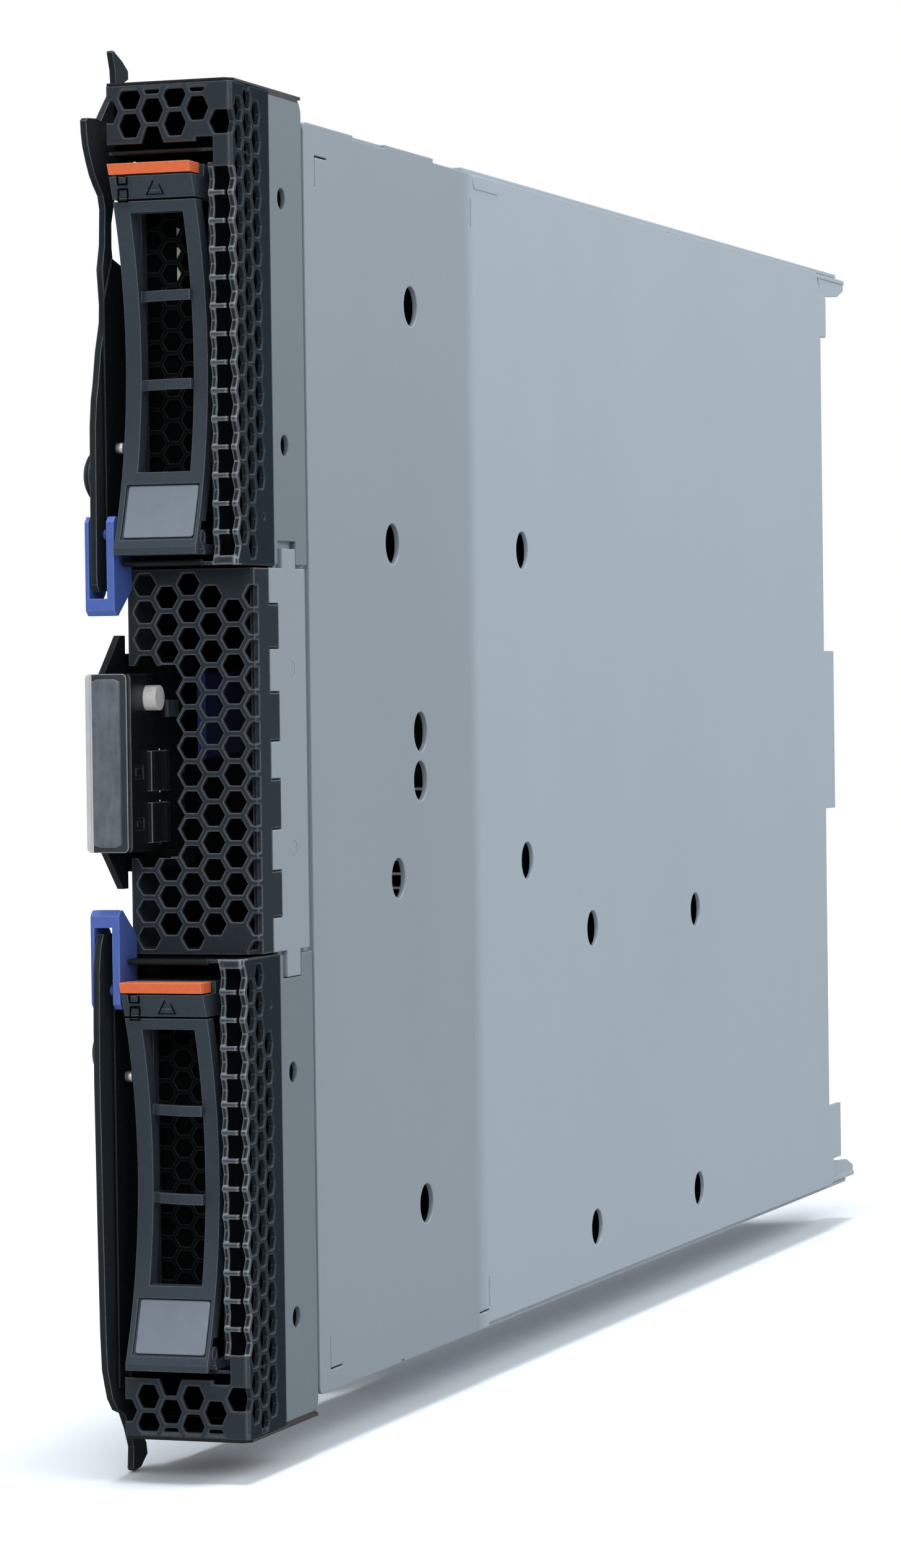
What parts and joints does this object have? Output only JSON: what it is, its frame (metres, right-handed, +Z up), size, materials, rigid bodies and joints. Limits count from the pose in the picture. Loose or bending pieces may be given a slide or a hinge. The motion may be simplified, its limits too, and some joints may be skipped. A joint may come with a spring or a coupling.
{
  "type": "blade server",
  "caption": "Thin upright server blade: sheet-metal base and hinged cover, honeycomb black front, drive trays with curved handles, folding ejector levers, control panel and full board inside.",
  "frame": {"origin": "front lower corner of the bay envelope on the cover side: X = 0 is the outermost plane of that side, Y = 0 the front face of the black honeycomb front, Z = 0 its underside", "axes": "+X from the cover side to the base panel, +Y from the front to the rear (the way the blade slides into its bay), +Z up"},
  "size_m": [0.029, 0.4458, 0.2595],
  "materials": {
    "sheet_steel": "zinc-plated sheet, satin",
    "black_plastic": "fine-grained black",
    "grey_plastic": "fine-grained dark grey",
    "blue_plastic": "satin blue",
    "orange_plastic": "satin red-orange",
    "clear_plastic": "clear, glossy",
    "white_plastic": "smooth white",
    "board_green": "solder mask",
    "alloy": "bare alloy",
    "dark_alloy": "black anodised",
    "contact_metal": "gold-coloured plating",
    "cell_steel": "nickel-plated",
    "ferrite": "pressed iron powder",
    "ivory_plastic": "moulded ivory"
  },
  "bodies": {
    "chassis": {"base_tray": "sheet_steel", "rear_bracket": "sheet_steel", "front_frame_upper": "sheet_steel", "front_frame_lower": "sheet_steel", "middle_bracket": "sheet_steel", "bezel_upper": "black_plastic", "bezel_lower": "black_plastic", "middle_grille": "black_plastic", "drive_cage_upper": "sheet_steel", "drive_cage_lower": "sheet_steel", "lever_pivots": "sheet_steel", "control_housing": "black_plastic", "lens_bar": "clear_plastic", "light_guide": "clear_plastic", "control_board": "board_green", "system_board": "board_green", "board_standoffs": "sheet_steel", "board_screws": "sheet_steel", "processor_sockets": "ivory_plastic", "heat_sinks": "alloy", "memory_sockets": "black_plastic", "memory_modules": "board_green", "memory_chips": "black_plastic", "chipset_heat_sink": "dark_alloy", "battery_cell": "cell_steel", "battery_holder": "black_plastic", "power_inductors": "ferrite", "expansion_connectors": "black_plastic", "midplane_connectors": "black_plastic", "midplane_contacts": "contact_metal", "guide_pins": "sheet_steel", "drive_backplanes": "board_green", "backplane_connectors": "black_plastic", "cover_hinge_pins": "sheet_steel"},
    "cover": {"top_cover": "sheet_steel"},
    "cover_button_upper": {"cover_release_upper": "blue_plastic"},
    "cover_button_lower": {"cover_release_lower": "blue_plastic"},
    "lever_arm_upper": {"lever_upper": "black_plastic", "lever_disc_upper": "grey_plastic"},
    "lever_arm_lower": {"lever_lower": "black_plastic", "lever_disc_lower": "grey_plastic"},
    "lever_latch_upper": {"latch_upper": "blue_plastic"},
    "lever_latch_lower": {"latch_lower": "blue_plastic"},
    "tray_upper": {"drive_tray_upper": "sheet_steel", "tray_front_upper": "grey_plastic", "drive_upper": "alloy"},
    "tray_lower": {"drive_tray_lower": "sheet_steel", "tray_front_lower": "grey_plastic", "drive_lower": "alloy"},
    "tray_handle_upper": {"handle_upper": "grey_plastic"},
    "tray_handle_lower": {"handle_lower": "grey_plastic"},
    "tray_bar_upper": {"release_bar_upper": "orange_plastic"},
    "tray_bar_lower": {"release_bar_lower": "orange_plastic"},
    "power_key": {"power_button": "white_plastic"},
    "select_key": {"select_button": "black_plastic"},
    "media_key": {"media_button": "black_plastic"},
    "arms_a": {"ejectors_a": "ivory_plastic"},
    "arms_b": {"ejectors_b": "ivory_plastic"},
    "arms_c": {"ejectors_c": "ivory_plastic"},
    "arms_d": {"ejectors_d": "ivory_plastic"}
  },
  "joints": [
    {"name": "cover_hinge", "type": "hinge", "parent": "chassis", "child": "cover", "pos_m": [0.004, 0.43, 0.1225], "axis": [0, 0, -1], "range_deg": [0, 90]},
    {"name": "cover_button_upper_slide", "type": "slide", "parent": "cover", "child": "cover_button_upper", "axis": [0, -1, 0], "range_m": [0, 0.0018], "stiffness_N_per_m": 300, "springref_m": -0.002},
    {"name": "cover_button_lower_slide", "type": "slide", "parent": "cover", "child": "cover_button_lower", "axis": [0, -1, 0], "range_m": [0, 0.0018], "stiffness_N_per_m": 300, "springref_m": -0.002},
    {"name": "lever_upper_hinge", "type": "hinge", "parent": "chassis", "child": "lever_arm_upper", "pos_m": [0.002, 0.014, 0.236], "axis": [-1, 0, 0], "range_deg": [0, 85]},
    {"name": "lever_lower_hinge", "type": "hinge", "parent": "chassis", "child": "lever_arm_lower", "pos_m": [0.002, 0.014, 0.009], "axis": [1, 0, 0], "range_deg": [0, 85]},
    {"name": "latch_upper_hinge", "type": "hinge", "parent": "lever_arm_upper", "child": "lever_latch_upper", "pos_m": [0.002, 0.002, 0.1638], "axis": [1, 0, 0], "range_deg": [0, 8], "stiffness_Nm_per_rad": 0.05, "springref_deg": -8.59},
    {"name": "latch_lower_hinge", "type": "hinge", "parent": "lever_arm_lower", "child": "lever_latch_lower", "pos_m": [0.002, 0.002, 0.0812], "axis": [-1, 0, 0], "range_deg": [0, 8], "stiffness_Nm_per_rad": 0.05, "springref_deg": -8.59},
    {"name": "tray_upper_slide", "type": "slide", "parent": "chassis", "child": "tray_upper", "axis": [0, -1, 0], "range_m": [0, 0.11]},
    {"name": "handle_upper_hinge", "type": "hinge", "parent": "tray_upper", "child": "tray_handle_upper", "pos_m": [0.01435, 0.0004, 0.1629], "axis": [1, 0, 0], "range_deg": [0, 40]},
    {"name": "bar_upper_slide", "type": "slide", "parent": "tray_upper", "child": "tray_bar_upper", "axis": [0, 1, 0], "range_m": [0, 0.0015], "stiffness_N_per_m": 300, "springref_m": -0.002},
    {"name": "tray_lower_slide", "type": "slide", "parent": "chassis", "child": "tray_lower", "axis": [0, -1, 0], "range_m": [0, 0.11]},
    {"name": "handle_lower_hinge", "type": "hinge", "parent": "tray_lower", "child": "tray_handle_lower", "pos_m": [0.01435, 0.0004, 0.0158], "axis": [1, 0, 0], "range_deg": [0, 40]},
    {"name": "bar_lower_slide", "type": "slide", "parent": "tray_lower", "child": "tray_bar_lower", "axis": [0, 1, 0], "range_m": [0, 0.0015], "stiffness_N_per_m": 300, "springref_m": -0.002},
    {"name": "power_key_slide", "type": "slide", "parent": "chassis", "child": "power_key", "axis": [-1, 0, 0], "range_m": [0, 0.0008], "stiffness_N_per_m": 300, "springref_m": -0.001},
    {"name": "select_key_slide", "type": "slide", "parent": "chassis", "child": "select_key", "axis": [-1, 0, 0], "range_m": [0, 0.0008], "stiffness_N_per_m": 300, "springref_m": -0.001},
    {"name": "media_key_slide", "type": "slide", "parent": "chassis", "child": "media_key", "axis": [-1, 0, 0], "range_m": [0, 0.0008], "stiffness_N_per_m": 300, "springref_m": -0.001},
    {"name": "arms_a_hinge", "type": "hinge", "parent": "chassis", "child": "arms_a", "pos_m": [0.0211, 0.23842, 0.1965], "axis": [0, 0, 1], "range_deg": [0, 30]},
    {"name": "arms_b_hinge", "type": "hinge", "parent": "chassis", "child": "arms_b", "pos_m": [0.0211, 0.37562, 0.1965], "axis": [0, 0, -1], "range_deg": [0, 30]},
    {"name": "arms_c_hinge", "type": "hinge", "parent": "chassis", "child": "arms_c", "pos_m": [0.0211, 0.23842, 0.0485], "axis": [0, 0, 1], "range_deg": [0, 30]},
    {"name": "arms_d_hinge", "type": "hinge", "parent": "chassis", "child": "arms_d", "pos_m": [0.0211, 0.37562, 0.0485], "axis": [0, 0, -1], "range_deg": [0, 30]}
  ]
}
